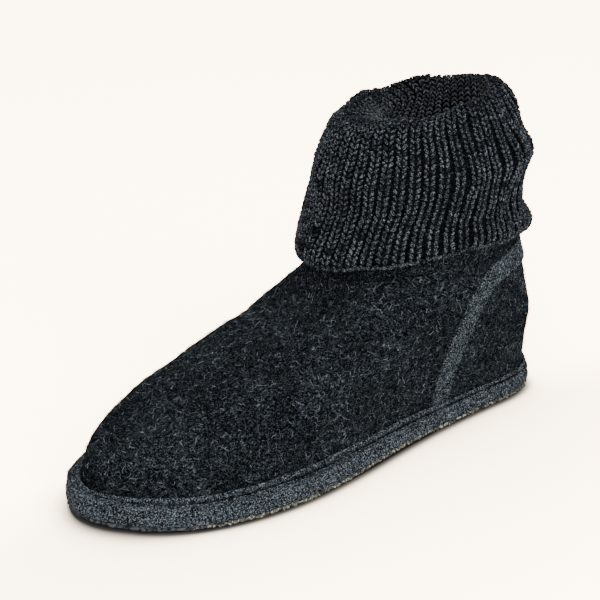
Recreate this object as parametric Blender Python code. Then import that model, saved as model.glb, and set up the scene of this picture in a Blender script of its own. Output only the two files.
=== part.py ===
"""Hut slipper for a left foot: a boiled-wool upper on a felt sole, with a turned-down rib-knit cuff.

X runs from heel to toe, Y to the outer (left) side and Z up. The origin is on the floor, under the
middle of the sole. Lengths are in metres, written as millimetres times MM.
"""

import math

import bmesh
import bpy
import numpy as np

MM = 0.001

# Driving sizes of the slipper
SOLE_LENGTH = 284 * MM
BALL_WIDTH = 106 * MM
TOE_SPRING = 2.5 * MM
TOE_SPRING_START = 0.80
ARCH_LIFT = 1.2 * MM
ARCH_MIDDLE = 0.42
ARCH_SPAN = 0.20
JOINT_GAP = 0.3 * MM

# Sole layers, from the floor up
OUTSOLE_THICKNESS = 2.2 * MM
OUTSOLE_EDGE_INSET = 0.5 * MM
OUTSOLE_FOOT_INSET = 2.0 * MM
MIDSOLE_THICKNESS = 5.0 * MM
MIDSOLE_EDGE_ROUND = 0.9 * MM
WELT_BASE = OUTSOLE_THICKNESS + MIDSOLE_THICKNESS + 2 * JOINT_GAP
WELT_GAP = 0.4 * MM
WELT_BEAD_WIDTH = 2.2 * MM
WELT_BEAD_HEIGHT = 5.2 * MM
WELT_GROOVE_WIDTH = 0.9 * MM
WELT_GROOVE_HEIGHT = 2.6 * MM
WELT_CROWN_HEIGHT = 3.9 * MM
WELT_EDGE_HEIGHT = 1.2 * MM
WELT_TOE_CURL = 1.5 * MM
INSOLE_THICKNESS = 3.5 * MM
INSOLE_TOP_GAP = 0.6 * MM

# Upper, from the feather line at its foot to the collar
WALL = 3.2 * MM
COLLAR_CENTRE_X = -68 * MM
COLLAR_CENTRE_Y = 0 * MM
COLLAR_HALF_LENGTH = 54 * MM
COLLAR_HALF_WIDTH = 39 * MM
COLLAR_FRONT_HEIGHT = 104 * MM
COLLAR_BACK_HEIGHT = 108 * MM

# Stations round the foot, anticlockwise from the heel. along is a share of the sole's length from
# the heel, across a share of half the ball width. flange is the welt's width. rise and shaft are how
# hard the wall pulls straight up at its foot and at the collar, swell how far it bellies out halfway.
# turn is the angle on the collar.
STATION_COLUMNS = ("along", "across", "flange", "rise", "swell", "shaft", "turn")
STATIONS = {
    "heel_back": (0.000, 0.00, 3.0, 80, 5, 40, 180),
    "heel_corner_inner": (0.040, -0.43, 3.5, 80, 5, 42, 206),
    "heel_inner": (0.160, -0.59, 3.5, 78, 4, 48, 234),
    "waist_inner": (0.420, -0.60, 6.0, 80, 2, 60, 270),
    "ball_inner": (0.715, -0.99, 8.0, 108, 7, 118, 312),
    "big_toe": (0.885, -0.80, 7.5, 136, 11, 178, 335),
    "toe_corner": (0.974, -0.42, 7.5, 146, 11, 205, 348),
    "toe_tip": (1.000, -0.06, 10.0, 146, 10, 215, 360),
    "toe_outer": (0.960, 0.43, 11.5, 130, 8, 200, 371),
    "little_toe": (0.870, 0.78, 11.0, 108, 5, 160, 384),
    "ball_outer": (0.660, 0.98, 10.5, 92, 4, 106, 406),
    "waist_outer": (0.400, 0.76, 6.5, 80, 2, 60, 448),
    "heel_outer": (0.160, 0.59, 3.5, 78, 4, 48, 486),
    "heel_corner_outer": (0.040, 0.43, 3.5, 80, 5, 42, 514),
}
FULL_TURN = 360

# Heel tape that covers the counter seam: an arch from the outer waist over the heel to the inner one.
# reach is how far round the foot it stands, in shares of the whole way; low and top are wall levels.
TAPE_WIDTH = 13 * MM
TAPE_THICKNESS = 1.5 * MM
TAPE_GAP = 0.4 * MM
TAPE_LOW = 0.12
TAPE_TOP = 0.67
TAPE_REACH = 0.152
TAPE_SIDE_POWER = 0.28
TAPE_ARCH_POWER = 0.5

# Cuff: a knitted tube sewn on the collar's edge, up to a fold and down again outside. Each row is a
# ring on its right side, from the hem up over the fold and down inside. back_rise lifts the ring's
# back, side_rise its two sides and outer_rise the outer side alone.
RIB_COUNT = 46
RIB_DEPTH = 1.0 * MM
CUFF_WALL = 3.0 * MM
CUFF_COLUMNS = ("height", "back_rise", "side_rise", "outer_rise", "centre", "half_length", "half_width")
CUFF_RINGS = {
    "hem_edge": (92, -2.5, 8, 0, -66, 67, 45.0),
    "hem": (97, -2.5, 8, 0, -67, 69, 46.0),
    "pinch": (111, -1, 4, 0, -66, 62, 45.5),
    "swell": (123, 1, 3, 0, -69, 60, 45.5),
    "bulge": (136, 1, 2, 0, -71, 61, 46.5),
    "shoulder": (149, 2, 1, 1, -70, 55, 43.5),
    "fold_outer": (159.5, 3, 1, 2, -68.5, 50, 39.5),
    "fold": (165, 4, 0, 3, -69, 45, 36.0),
    "fold_top": (166.5, 5, -1, 3.5, -72, 37.5, 30.5),
    "fold_inner": (163, 6.5, -2, 3.5, -76.5, 29.5, 25.5),
    "throat": (154, 6, -1, 2, -76.5, 30, 26.0),
    "lining": (138, 3, 0, 1, -71, 40, 31.5),
    "lining_low": (121, 0.5, 0, 0, -68, 48, 35.0),
}

# Points round each ring of the meshes
UPPER_RING = 66
UPPER_LEVELS = 15
UPPER_LEVEL_POWER = 1.5
SOLE_RING = 66


def clear_scene():
    for obj in list(bpy.data.objects):
        bpy.data.objects.remove(obj)


def periodic_spline(knots, values, period):
    """A cubic through the values at the knots that closes smoothly after one period."""
    count = len(knots)
    gaps = np.diff(np.append(knots, knots[0] + period))
    steps = np.diff(np.append(values, values[0]))
    matrix = np.zeros((count, count))
    right = np.zeros(count)
    for i in range(count):
        before, after = gaps[i - 1], gaps[i]
        matrix[i, i - 1] += before
        matrix[i, i] += 2 * (before + after)
        matrix[i, (i + 1) % count] += after
        right[i] = 6 * (steps[i] / after - steps[i - 1] / before)
    bends = np.linalg.solve(matrix, right)

    def value(at):
        at = np.mod(np.asarray(at, float) - knots[0], period) + knots[0]
        i = np.searchsorted(knots, at, side="right") - 1
        j = (i + 1) % count
        gap = gaps[i]
        left = (knots[i] + gap - at) / gap
        rest = 1 - left
        smooth = ((left**3 - left) * bends[i] + (rest**3 - rest) * bends[j]) * gap**2 / 6
        return left * values[i] + rest * values[j] + smooth

    return value


def station_curves():
    """One closed curve for each column of the station table, on a shared share of the way round."""
    table = np.array(list(STATIONS.values()), float)
    column = dict(zip(STATION_COLUMNS, table.T))
    x = (column["along"] - 0.5) * SOLE_LENGTH
    y = column["across"] * BALL_WIDTH / 2
    chords = np.hypot(np.diff(np.append(x, x[0])), np.diff(np.append(y, y[0])))
    knots = np.concatenate([[0], np.cumsum(chords)[:-1]]) / chords.sum()
    straight_turn = FULL_TURN * knots
    curves = {
        "x": periodic_spline(knots, x, 1),
        "y": periodic_spline(knots, y, 1),
        "turn_lead": periodic_spline(knots, column["turn"] - 180 - straight_turn, 1),
    }
    for name in ("flange", "rise", "swell", "shaft"):
        curves[name] = periodic_spline(knots, column[name] * MM, 1)
    return curves


CURVES = station_curves()


def sole_edge(share):
    """Points on the sole's outline and the unit vectors that point out of it."""
    step = 1e-4
    point = np.stack([CURVES["x"](share), CURVES["y"](share)], -1)
    ahead = np.stack([CURVES["x"](share + step), CURVES["y"](share + step)], -1)
    behind = np.stack([CURVES["x"](share - step), CURVES["y"](share - step)], -1)
    along = (ahead - behind) / np.linalg.norm(ahead - behind, axis=-1, keepdims=True)
    out = np.stack([along[..., 1], -along[..., 0]], -1)
    return point, out


def floor_lift(x):
    """How far the sole's underside is off the floor: toe spring and a low arch."""
    share = x / SOLE_LENGTH + 0.5
    toe = np.clip((share - TOE_SPRING_START) / (1 - TOE_SPRING_START), 0, None)
    arch = np.clip(1 - np.abs(share - ARCH_MIDDLE) / ARCH_SPAN, 0, None)
    return TOE_SPRING * toe**2 + ARCH_LIFT * arch * arch * (3 - 2 * arch)


def sole_ring(share, inset, height):
    """A ring inside the sole's outline by inset, at a height above the sole's underside."""
    point, out = sole_edge(share)
    flat = point - out * np.reshape(inset, (-1, 1))
    return np.column_stack([flat, floor_lift(flat[:, 0]) + height])


def feather_ring(share, inset=0.0, height=0.0):
    """A ring inside the feather line, where the upper's outer face meets the sole."""
    return sole_ring(share, CURVES["flange"](share) + inset, height)


def collar_ring(share):
    turn = np.radians(FULL_TURN * share + 180 + CURVES["turn_lead"](share))
    x = COLLAR_CENTRE_X + COLLAR_HALF_LENGTH * np.cos(turn)
    y = COLLAR_CENTRE_Y + COLLAR_HALF_WIDTH * np.sin(turn)
    forward = (1 + np.cos(turn)) / 2
    z = COLLAR_BACK_HEIGHT + (COLLAR_FRONT_HEIGHT - COLLAR_BACK_HEIGHT) * forward
    return np.column_stack([x, y, z])


def upper_face(share, level):
    """The upper's outer face: a wall that rises from the feather line (level 0) to the collar (1)."""
    share, level = np.broadcast_arrays(np.asarray(share, float), np.asarray(level, float))
    foot = feather_ring(share, height=WELT_BASE)
    top = collar_ring(share)
    up = np.array([0.0, 0.0, 1.0])
    _, out = sole_edge(share)
    swell = np.column_stack([out, np.zeros(len(out))]) * CURVES["swell"](share)[:, None]
    rise = CURVES["rise"](share)[:, None] * up
    shaft = CURVES["shaft"](share)[:, None] * up
    t = level[:, None]
    return (
        foot * (2 * t**3 - 3 * t**2 + 1)
        + rise * (t**3 - 2 * t**2 + t)
        + top * (3 * t**2 - 2 * t**3)
        + shaft * (t**3 - t**2)
        + swell * 16 * t**2 * (1 - t) ** 2
    )


def upper_out(share, level):
    """Unit vectors that point out of the upper's outer face."""
    step = 1e-4
    low = np.clip(np.asarray(level, float) - step, 0, 1)
    high = np.clip(np.asarray(level, float) + step, 0, 1)
    round_way = upper_face(share + step, level) - upper_face(share - step, level)
    up_way = upper_face(share, high) - upper_face(share, low)
    out = np.cross(round_way, up_way)
    return out / np.linalg.norm(out, axis=-1, keepdims=True)


def upper_offset(share, level, distance):
    share, level = np.broadcast_arrays(np.asarray(share, float), np.asarray(level, float))
    return upper_face(share, level) + upper_out(share, level) * np.reshape(distance, (-1, 1))


def ring_shares(count):
    return np.arange(count) / count


def mesh_object(name, bm, colour, roughness):
    """Turns a bmesh into a named object with its own Principled material."""
    bmesh.ops.recalc_face_normals(bm, faces=bm.faces)
    if bm.calc_volume(signed=True) < 0:
        bmesh.ops.reverse_faces(bm, faces=bm.faces)
    mesh = bpy.data.meshes.new(name)
    bm.to_mesh(mesh)
    bm.free()
    mesh.shade_smooth()
    mesh.set_sharp_from_angle(angle=math.radians(40))
    material = bpy.data.materials.new(name)
    material.use_nodes = True
    shader = material.node_tree.nodes["Principled BSDF"]
    shader.inputs["Base Color"].default_value = (*colour, 1)
    shader.inputs["Roughness"].default_value = roughness
    shader.inputs["Metallic"].default_value = 0
    mesh.materials.append(material)
    obj = bpy.data.objects.new(name, mesh)
    bpy.context.scene.collection.objects.link(obj)
    return obj


def bridge_rings(bm, rings, closed=False):
    """Joins rings of the same number of points with quads; closed also joins the last to the first."""
    loops = [[bm.verts.new(point) for point in ring] for ring in rings]
    pairs = list(zip(loops, loops[1:]))
    if closed:
        pairs.append((loops[-1], loops[0]))
    for low, high in pairs:
        for i in range(len(low)):
            j = (i + 1) % len(low)
            bm.faces.new((low[i], low[j], high[j], high[i]))
    return loops


def stacked_solid(name, rings, colour, roughness):
    """A solid of stacked rings, closed by a flat or gently curved face at each end."""
    bm = bmesh.new()
    loops = bridge_rings(bm, rings)
    for loop in (loops[0], loops[-1]):
        cap = bm.faces.new(loop)
        bmesh.ops.triangulate(bm, faces=[cap])
    return mesh_object(name, bm, colour, roughness)


def hollow_solid(name, rings, colour, roughness):
    """A wall whose section is a closed loop, swept all the way round."""
    bm = bmesh.new()
    bridge_rings(bm, rings, closed=True)
    return mesh_object(name, bm, colour, roughness)


def build_outsole():
    share = ring_shares(SOLE_RING)
    rings = [
        sole_ring(share, OUTSOLE_FOOT_INSET, 0.0),
        sole_ring(share, OUTSOLE_EDGE_INSET, 0.45 * OUTSOLE_THICKNESS),
        sole_ring(share, OUTSOLE_EDGE_INSET, OUTSOLE_THICKNESS),
    ]
    return stacked_solid("outsole", rings, (0.36, 0.35, 0.30), 0.9)


def build_midsole():
    share = ring_shares(SOLE_RING)
    base = OUTSOLE_THICKNESS + JOINT_GAP
    profile = (
        (MIDSOLE_EDGE_ROUND, 0.0),
        (0.0, 0.35 * MIDSOLE_THICKNESS),
        (0.0, 0.70 * MIDSOLE_THICKNESS),
        (MIDSOLE_EDGE_ROUND, MIDSOLE_THICKNESS),
    )
    rings = [sole_ring(share, inset, base + height) for inset, height in profile]
    return stacked_solid("midsole", rings, (0.12, 0.14, 0.18), 0.95)


def build_welt():
    """The felt rand: a bead against the upper, the stitch groove, then the flange to the sole's edge."""
    share = ring_shares(SOLE_RING)
    flange = CURVES["flange"](share)
    point, _ = sole_edge(share)
    toe = np.clip((point[:, 0] / SOLE_LENGTH + 0.5 - 0.9) / 0.1, 0, 1)
    curl = WELT_TOE_CURL * toe
    groove_end = WELT_BEAD_WIDTH + WELT_GROOVE_WIDTH + WELT_GAP
    body = flange - groove_end
    profile = (
        (WELT_GAP, 0.0, 0.0),
        (WELT_GAP, 0.8 * WELT_BEAD_HEIGHT, 0.3),
        (WELT_GAP + 0.45 * WELT_BEAD_WIDTH, WELT_BEAD_HEIGHT, 0.3),
        (WELT_GAP + WELT_BEAD_WIDTH, 0.8 * WELT_BEAD_HEIGHT, 0.35),
        (groove_end - 0.5 * WELT_GROOVE_WIDTH, WELT_GROOVE_HEIGHT, 0.4),
        (groove_end + 0.2 * body, WELT_CROWN_HEIGHT, 0.5),
        (groove_end + 0.65 * body, 0.9 * WELT_CROWN_HEIGHT, 0.8),
        (groove_end + body, WELT_EDGE_HEIGHT, 1.0),
        (groove_end + 0.8 * body, 0.0, 0.0),
    )
    rings = [
        sole_ring(share, flange - out, WELT_BASE + height + lift * curl)
        for out, height, lift in profile
    ]
    return hollow_solid("welt", rings, (0.13, 0.15, 0.19), 0.95)


def build_insole():
    """A felt insole whose edge follows the inner side of the upper's wall."""
    share = ring_shares(UPPER_RING)
    low = feather_ring(share, WALL + JOINT_GAP, WELT_BASE)
    levels = np.linspace(0, 0.3, 61)
    heights = [upper_offset(share, level, -WALL - INSOLE_TOP_GAP)[:, 2] for level in levels]
    level = levels[np.argmax(np.array(heights) > low[:, 2] + INSOLE_THICKNESS, axis=0)]
    high = upper_offset(share, level, -WALL - INSOLE_TOP_GAP)
    high[:, 2] = low[:, 2] + INSOLE_THICKNESS
    return stacked_solid("insole", [low, high], (0.10, 0.11, 0.14), 0.95)


def build_upper():
    share = ring_shares(UPPER_RING)
    levels = np.linspace(0, 1, UPPER_LEVELS) ** UPPER_LEVEL_POWER
    outer = [upper_face(share, level) for level in levels]
    inner = [upper_offset(share, level, -WALL) for level in reversed(levels)]
    for ring, level in zip(inner, reversed(levels)):
        if level in (0.0, 1.0):
            ring[:, 2] = upper_face(share, level)[:, 2]
    return hollow_solid("upper", outer + inner, (0.035, 0.042, 0.055), 0.97)


def tape_strip(count, across):
    """Places on the upper (share, level) of lines that run along the heel tape, across its width."""
    turn = np.linspace(-math.pi / 2, math.pi / 2, 401)
    share = np.sign(turn) * np.abs(np.sin(turn)) ** TAPE_SIDE_POWER * TAPE_REACH
    level = TAPE_LOW + (TAPE_TOP - TAPE_LOW) * np.cos(turn) ** TAPE_ARCH_POWER
    steps = np.linalg.norm(np.diff(upper_face(share, level), axis=0), axis=1)
    run = np.concatenate([[0], np.cumsum(steps)])
    even = np.linspace(0, run[-1], count)
    share, level = np.interp(even, run, share), np.interp(even, run, level)
    step = 1e-4
    by_share = (upper_face(share + step, level) - upper_face(share - step, level)) / (2 * step)
    by_level = (upper_face(share, level + step) - upper_face(share, level - step)) / (2 * step)
    along = np.gradient(upper_face(share, level), axis=0)
    side = np.cross(upper_out(share, level), along)
    side /= np.linalg.norm(side, axis=1, keepdims=True)
    lines = []
    for offset in across:
        moved = [
            np.linalg.lstsq(np.column_stack([u, v]), offset * w, rcond=None)[0]
            for u, v, w in zip(by_share, by_level, side)
        ]
        moved = np.array(moved)
        lines.append((share + moved[:, 0], np.clip(level + moved[:, 1], 0.09, 1)))
    return lines


def build_heel_tape():
    across = np.linspace(-0.5, 0.5, 5) * TAPE_WIDTH
    edge_drop = 0.4 * TAPE_THICKNESS * (np.abs(across) > 0.4 * TAPE_WIDTH)
    lines = tape_strip(29, across)
    top = [
        upper_offset(share, level, TAPE_GAP + TAPE_THICKNESS - drop)
        for (share, level), drop in zip(lines, edge_drop)
    ]
    bottom = [upper_offset(share, level, TAPE_GAP) for share, level in lines]
    sections = np.stack(top + bottom[::-1], axis=1)
    return stacked_solid("heel_tape", sections, (0.11, 0.13, 0.17), 0.95)


def cuff_ring(name, turn):
    row = dict(zip(CUFF_COLUMNS, CUFF_RINGS[name]))
    x = row["centre"] + row["half_length"] * np.cos(turn)
    y = row["half_width"] * np.sin(turn)
    z = row["height"] - row["back_rise"] * np.cos(turn) + row["side_rise"] * np.sin(turn) ** 2
    z = z + row["outer_rise"] * np.sin(turn)
    return np.column_stack([x, y, z]) * MM


def collar_inside(turn):
    """The ring where the cuff's inner layer stands on the collar's edge, on the collar's inner side."""
    x = COLLAR_CENTRE_X + (COLLAR_HALF_LENGTH - WALL) * np.cos(turn)
    y = COLLAR_CENTRE_Y + (COLLAR_HALF_WIDTH - WALL) * np.sin(turn)
    forward = (1 + np.cos(turn)) / 2
    z = COLLAR_BACK_HEIGHT + (COLLAR_FRONT_HEIGHT - COLLAR_BACK_HEIGHT) * forward + JOINT_GAP
    return np.column_stack([x, y, z])


def build_cuff():
    """One knitted wall: its right side with the ribs, its wrong side one wall behind."""
    turn = 2 * math.pi * np.arange(2 * RIB_COUNT) / (2 * RIB_COUNT)
    face = np.stack([cuff_ring(name, turn) for name in CUFF_RINGS] + [collar_inside(turn)])
    up_way = np.gradient(face, axis=0)
    round_way = np.roll(face, -1, axis=1) - np.roll(face, 1, axis=1)
    out = np.cross(round_way, up_way)
    out /= np.linalg.norm(out, axis=2, keepdims=True)
    out[-1, :, 2] = 0
    ribs = RIB_DEPTH * np.where(np.arange(2 * RIB_COUNT) % 2, -1, 0)
    right_side = face + out * ribs[None, :, None]
    wrong_side = face - out * CUFF_WALL
    right_side[-1] = face[-1]
    wrong_side[-1, :, 2] = face[-1, :, 2]
    rings = list(right_side) + list(wrong_side[::-1])
    return hollow_solid("cuff", rings, (0.045, 0.048, 0.055), 0.97)


def build_all():
    clear_scene()
    build_outsole()
    build_midsole()
    build_welt()
    build_insole()
    build_upper()
    build_heel_tape()
    build_cuff()


build_all()
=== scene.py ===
import math

import bmesh
import bpy
import numpy as np
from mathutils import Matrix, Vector


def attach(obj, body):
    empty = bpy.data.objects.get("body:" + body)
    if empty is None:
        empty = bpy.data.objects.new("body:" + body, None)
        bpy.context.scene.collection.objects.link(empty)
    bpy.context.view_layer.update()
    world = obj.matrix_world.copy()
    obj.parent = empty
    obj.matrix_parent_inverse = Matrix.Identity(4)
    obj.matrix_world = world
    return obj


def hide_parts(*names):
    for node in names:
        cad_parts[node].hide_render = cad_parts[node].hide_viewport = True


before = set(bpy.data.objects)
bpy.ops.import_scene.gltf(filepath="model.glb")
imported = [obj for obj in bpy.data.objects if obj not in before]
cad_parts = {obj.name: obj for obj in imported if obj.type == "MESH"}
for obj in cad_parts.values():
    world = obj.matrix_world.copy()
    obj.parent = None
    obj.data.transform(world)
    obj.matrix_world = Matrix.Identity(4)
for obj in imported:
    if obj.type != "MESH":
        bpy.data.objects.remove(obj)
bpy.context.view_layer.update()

MM = 0.001


# Photographer's table
# A pale seamless floor in even light from all round, with three big soft lamps overhead, in front and
# beside that each add a little. The camera looks at the outer side of the slipper from in front of the
# toe, a little above it.
CAMERA_AZIMUTH = 140.8
CAMERA_ELEVATION = 22.5
CAMERA_DISTANCE = 1.0
CAMERA_TARGET = Vector((-11.1, -24.4, 64.9)) * MM
FOCAL_LENGTH_PIXELS = 1964
PICTURE_WIDTH_PIXELS = 600
# The floor is burnt out to a warm white in the picture, but throws no more light on the slipper than
# a plain white one.
FLOOR_BOUNCE = (0.80, 0.78, 0.75, 1)
FLOOR_SEEN = (7.0, 5.5, 3.9, 1)
FLOOR_REACH = 6.0
FLOOR_DROP = 0.2 * MM
STUDIO_COLOUR = (1.0, 0.985, 0.965, 1)
STUDIO_STRENGTH = 1.3
LAMP_COLUMNS = ("azimuth", "elevation", "distance", "size", "power", "colour")
LAMPS = {
    "lamp_overhead": (165, 70, 1.6, 1.5, 11, (1.0, 0.985, 0.96)),
    "lamp_front": (140, 38, 1.8, 1.0, 10, (1.0, 0.99, 0.975)),
    "lamp_side": (190, 28, 1.9, 1.2, 10, (0.97, 0.985, 1.0)),
}


def direction(azimuth, elevation):
    a, e = math.radians(azimuth), math.radians(elevation)
    return Vector((math.sin(a) * math.cos(e), -math.cos(a) * math.cos(e), math.sin(e)))


def soft_lamp(name, azimuth, elevation, distance, size, power, colour):
    lamp = bpy.data.lights.new(name, "AREA")
    lamp.shape = "DISK"
    lamp.size = size
    lamp.energy = power
    lamp.color = colour
    obj = bpy.data.objects.new(name, lamp)
    towards = direction(azimuth, elevation)
    obj.location = towards * distance
    obj.rotation_euler = towards.to_track_quat("Z", "Y").to_euler()
    bpy.context.scene.collection.objects.link(obj)


def node(tree, kind, choices=None, **inputs):
    """A shader or geometry node with its choices made and its inputs set to values or linked from sockets."""
    made = tree.nodes.new(kind)
    for key, value in (choices or {}).items():
        setattr(made, key, value)
    for key, value in inputs.items():
        socket = made.inputs[int(key[1:])] if key[1:].isdigit() else made.inputs[key.replace("_", " ")]
        if isinstance(value, bpy.types.NodeSocket):
            tree.links.new(value, socket)
        else:
            socket.default_value = value
    return made


def blend(tree, amount, first, second):
    return node(tree, "ShaderNodeMix", {"data_type": "RGBA"}, _0=amount, _6=first, _7=second).outputs[2]


def attribute(tree, name):
    return node(tree, "ShaderNodeAttribute", {"attribute_name": name}).outputs


camera = bpy.data.cameras.new("camera")
camera.sensor_width = 36
camera.lens = FOCAL_LENGTH_PIXELS * camera.sensor_width / PICTURE_WIDTH_PIXELS
camera.clip_start = 0.01
camera_stand = bpy.data.objects.new("camera", camera)
looking_back = direction(CAMERA_AZIMUTH, CAMERA_ELEVATION)
camera_stand.location = CAMERA_TARGET + looking_back * CAMERA_DISTANCE
camera_stand.rotation_euler = looking_back.to_track_quat("Z", "Y").to_euler()
bpy.context.scene.collection.objects.link(camera_stand)
bpy.context.scene.camera = camera_stand

for name, row in LAMPS.items():
    soft_lamp(name, **dict(zip(LAMP_COLUMNS, row)))
world = bpy.data.worlds.new("studio")
world.use_nodes = True
backdrop = world.node_tree.nodes["Background"].inputs
backdrop["Color"].default_value = STUDIO_COLOUR
backdrop["Strength"].default_value = STUDIO_STRENGTH
bpy.context.scene.world = world

floor_mesh = bpy.data.meshes.new("floor")
floor_corners = [(x * FLOOR_REACH, y * FLOOR_REACH, 0) for x, y in ((-1, -1), (1, -1), (1, 1), (-1, 1))]
floor_mesh.from_pydata(floor_corners, [], [(0, 1, 2, 3)])
floor_mesh.attributes.new("seen", "FLOAT_COLOR", "POINT").data.foreach_set("color", FLOOR_SEEN * 4)
floor = bpy.data.objects.new("floor", floor_mesh)
floor.location.z = -FLOOR_DROP
floor_paint = bpy.data.materials.new("floor_paint")
floor_paint.use_nodes = True
floor_tree = floor_paint.node_tree
floor_tree.nodes.clear()
seen_by_camera = floor_tree.nodes.new("ShaderNodeLightPath").outputs["Is Camera Ray"]
floor_colour = blend(floor_tree, seen_by_camera, FLOOR_BOUNCE, attribute(floor_tree, "seen")["Color"])
floor_diffuse = node(floor_tree, "ShaderNodeBsdfDiffuse", Color=floor_colour)
node(floor_tree, "ShaderNodeOutputMaterial", Surface=floor_diffuse.outputs[0])
floor_mesh.materials.append(floor_paint)
bpy.context.scene.collection.objects.link(floor)


# Outsole
# A thin sheet of crumb latex, cut to the sole's outline and glued under the felt. Its cut edge shows
# as a pale, rough line that turns dark grey round the toe, and its underside has a fine pebbled tread.
SOLE_LENGTH = 284 * MM
BALL_WIDTH = 106 * MM
TOE_SPRING = 2.5 * MM
TOE_SPRING_START = 0.80
ARCH_LIFT = 1.2 * MM
ARCH_MIDDLE = 0.42
ARCH_SPAN = 0.20
OUTSOLE_THICKNESS = 2.2 * MM
OUTSOLE_GRIT = 0.34 * MM
SEAM = 0.3 * MM
SOLE_POINTS = 600
LATEX_DARK = (0.016, 0.016, 0.014, 1)
LATEX_PALE = (0.105, 0.104, 0.086, 1)
LATEX_FLECK = (0.38, 0.375, 0.31, 1)
TOE_LATEX_DARK = (0.012, 0.015, 0.019, 1)
TOE_LATEX_PALE = (0.075, 0.083, 0.090, 1)
# How far forward the latex begins to turn grey, and where it is grey all over.
TOE_GREY_FROM = 90 * MM
TOE_GREY_TO = 118 * MM
# The sheet's section, from its underside round the edge to its top: how far inside the outline and how
# high in millimetres, and how much of the sole's width the ring keeps.
OUTSOLE_SECTION = (
    (2.0, 0.0, 0.0), (2.0, 0.0, 0.3), (2.0, 0.0, 0.6), (2.0, 0.0, 0.85), (2.0, 0.0, 1.0),
    (1.2, 0.25, 1.0), (0.7, 0.7, 1.0), (0.5, 1.1, 1.0), (0.5, 1.5, 1.0), (0.6, 1.9, 1.0),
    (0.9, 2.2, 1.0), (3.0, 2.2, 1.0), (5.0, 2.2, 0.5), (5.0, 2.2, 0.0),
)
OUTSOLE_EDGE = slice(5, 11)
# Stations round the foot, anticlockwise from the heel, as in the part's source.
STATION_COLUMNS = ("along", "across", "flange", "rise", "swell", "shaft", "turn")
STATIONS = {
    "heel_back": (0.000, 0.00, 3.0, 80, 5, 40, 180),
    "heel_corner_inner": (0.040, -0.43, 3.5, 80, 5, 42, 206),
    "heel_inner": (0.160, -0.59, 3.5, 78, 4, 48, 234),
    "waist_inner": (0.420, -0.60, 6.0, 80, 2, 60, 270),
    "ball_inner": (0.715, -0.99, 8.0, 108, 7, 118, 312),
    "big_toe": (0.885, -0.80, 7.5, 136, 11, 178, 335),
    "toe_corner": (0.974, -0.42, 7.5, 146, 11, 205, 348),
    "toe_tip": (1.000, -0.06, 10.0, 146, 10, 215, 360),
    "toe_outer": (0.960, 0.43, 11.5, 130, 8, 200, 371),
    "little_toe": (0.870, 0.78, 11.0, 108, 5, 160, 384),
    "ball_outer": (0.660, 0.98, 10.5, 92, 4, 106, 406),
    "waist_outer": (0.400, 0.76, 6.5, 80, 2, 60, 448),
    "heel_outer": (0.160, 0.59, 3.5, 78, 4, 48, 486),
    "heel_corner_outer": (0.040, 0.43, 3.5, 80, 5, 42, 514),
}


def closed_spline(knots, values):
    """A cubic through the values at the knots that closes smoothly after one turn."""
    count = len(knots)
    gaps = np.diff(np.append(knots, knots[0] + 1))
    steps = np.diff(np.append(values, values[0]))
    matrix = np.zeros((count, count))
    right = np.zeros(count)
    for i in range(count):
        before, after = gaps[i - 1], gaps[i]
        matrix[i, i - 1] += before
        matrix[i, i] += 2 * (before + after)
        matrix[i, (i + 1) % count] += after
        right[i] = 6 * (steps[i] / after - steps[i - 1] / before)
    bends = np.linalg.solve(matrix, right)

    def value(at):
        at = np.mod(np.asarray(at, float) - knots[0], 1) + knots[0]
        i = np.searchsorted(knots, at, side="right") - 1
        j = (i + 1) % count
        left = (knots[i] + gaps[i] - at) / gaps[i]
        rest = 1 - left
        bend = ((left**3 - left) * bends[i] + (rest**3 - rest) * bends[j]) * gaps[i] ** 2 / 6
        return left * values[i] + rest * values[j] + bend

    return value


def station_curves():
    column = dict(zip(STATION_COLUMNS, np.array(list(STATIONS.values()), float).T))
    x = (column["along"] - 0.5) * SOLE_LENGTH
    y = column["across"] * BALL_WIDTH / 2
    chords = np.hypot(np.diff(np.append(x, x[0])), np.diff(np.append(y, y[0])))
    knots = np.concatenate([[0], np.cumsum(chords)[:-1]]) / chords.sum()
    curves = {"x": closed_spline(knots, x), "y": closed_spline(knots, y)}
    curves["turn_lead"] = closed_spline(knots, column["turn"] - 180 - 360 * knots)
    for name in ("flange", "rise", "swell", "shaft"):
        curves[name] = closed_spline(knots, column[name] * MM)
    return curves


curves = station_curves()


def unit(vectors):
    return vectors / np.maximum(np.linalg.norm(vectors, axis=-1, keepdims=True), 1e-12)


def sole_edge(share):
    """Points on the sole's outline and the unit vectors that point out of it."""
    step = 1e-4
    point, ahead, behind = (
        np.stack([curves["x"](share + shift), curves["y"](share + shift)], -1) for shift in (0, step, -step)
    )
    along = unit(ahead - behind)
    return point, np.stack([along[..., 1], -along[..., 0]], -1)


def floor_lift(x):
    share = x / SOLE_LENGTH + 0.5
    toe = np.clip((share - TOE_SPRING_START) / (1 - TOE_SPRING_START), 0, None)
    arch = np.clip(1 - np.abs(share - ARCH_MIDDLE) / ARCH_SPAN, 0, None)
    return TOE_SPRING * toe**2 + ARCH_LIFT * arch * arch * (3 - 2 * arch)


def sole_ring(share, inset, height, squeeze=1.0):
    """A ring inside the sole's outline; squeeze 0 lays it on the sole's long middle line."""
    point, out = sole_edge(share)
    flat = point - out * np.reshape(inset, (-1, 1))
    flat[:, 1] *= squeeze
    return np.column_stack([flat, floor_lift(flat[:, 0]) + height])


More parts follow.
